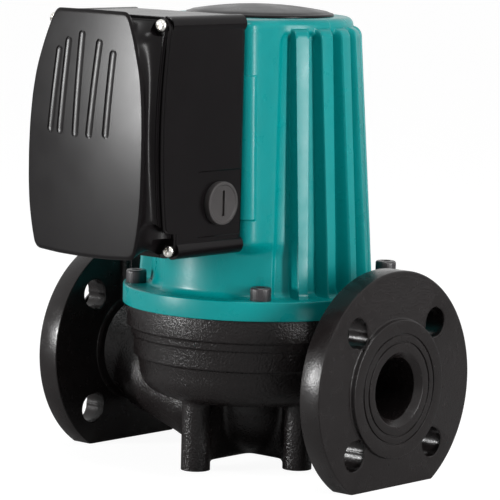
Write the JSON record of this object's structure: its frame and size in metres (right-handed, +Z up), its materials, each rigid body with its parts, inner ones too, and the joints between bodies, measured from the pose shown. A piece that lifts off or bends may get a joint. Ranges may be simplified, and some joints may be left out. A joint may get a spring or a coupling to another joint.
{
  "type": "centrifugal water pump",
  "caption": "In-line flanged circulating pump: cast volute between two pipe flanges, finned upright motor and a terminal box on its side.",
  "frame": {"origin": "on the pump axis, in the plane that the feet and the flats of the flanges stand on", "axes": "+Z up the pump axis, +X along the pipe out of the outlet flange, -Y towards the terminal box"},
  "size_m": [0.25, 0.245, 0.3],
  "materials": {
    "cast_iron_black": "black paint over cast iron, pebbled, glossy",
    "bronze": "machined",
    "seal_rubber": "matte",
    "stainless": "machined",
    "carbon": "carbon graphite",
    "laminations": "stacked electrical steel",
    "copper": "enamelled copper",
    "cage_aluminium": "cast",
    "impeller_plastic": "moulded",
    "housing_teal": "powder coat, slight orange peel",
    "bolt_black": "blackened",
    "vent_brass": "turned",
    "cap_black": "smooth",
    "box_plastic": "satin moulding",
    "screw_zinc": "bright zinc",
    "plug_grey": "moulded",
    "gland_plastic": "moulded",
    "block_white": "moulded",
    "capacitor_shell": "moulded",
    "clip_steel": "sprung strip",
    "knob_red": "moulded"
  },
  "bodies": {
    "pump": {"volute_casing": "cast_iron_black", "wear_ring": "bronze", "casing_seal_ring": "seal_rubber", "can_seal_ring": "seal_rubber", "plug_seal": "seal_rubber", "gland_seal": "seal_rubber", "gland_insert": "seal_rubber", "box_gasket": "seal_rubber", "vent_washer": "seal_rubber", "bearing_plate": "stainless", "rotor_can": "stainless", "bearing_holder": "stainless", "lower_bearing": "carbon", "upper_bearing": "carbon", "stator_core": "laminations", "stator_winding": "copper", "motor_housing": "housing_teal", "motor_bolts": "bolt_black", "vent_screw": "vent_brass", "motor_cap": "cap_black", "terminal_box": "box_plastic", "box_screws": "screw_zinc", "clamp_screws": "screw_zinc", "earth_screw": "screw_zinc", "blanking_plug": "plug_grey", "gland_body": "gland_plastic", "gland_nut": "gland_plastic", "terminal_block": "block_white", "speed_module": "block_white", "capacitor": "capacitor_shell", "capacitor_clip": "clip_steel"},
    "rotor": {"shaft": "stainless", "impeller": "impeller_plastic", "impeller_nut": "stainless", "rotor_core": "laminations", "cage_rings": "cage_aluminium", "rotor_sleeve": "stainless", "thrust_collars": "stainless"},
    "cover": {"terminal_cover": "box_plastic", "cover_screws": "screw_zinc"},
    "knob": {"speed_knob": "knob_red"}
  },
  "joints": [
    {"name": "rotor_spin", "type": "hinge", "parent": "pump", "child": "rotor", "pos_m": [0, 0, 0.101], "axis": [0, 0, 1], "continuous": true},
    {"name": "cover_lift", "type": "slide", "parent": "pump", "child": "cover", "axis": [0, -1, 0], "range_m": [0, 0.08]},
    {"name": "knob_turn", "type": "hinge", "parent": "pump", "child": "knob", "pos_m": [0, -0.1, 0.217], "axis": [0, -1, 0], "range_deg": [0, 120]}
  ]
}
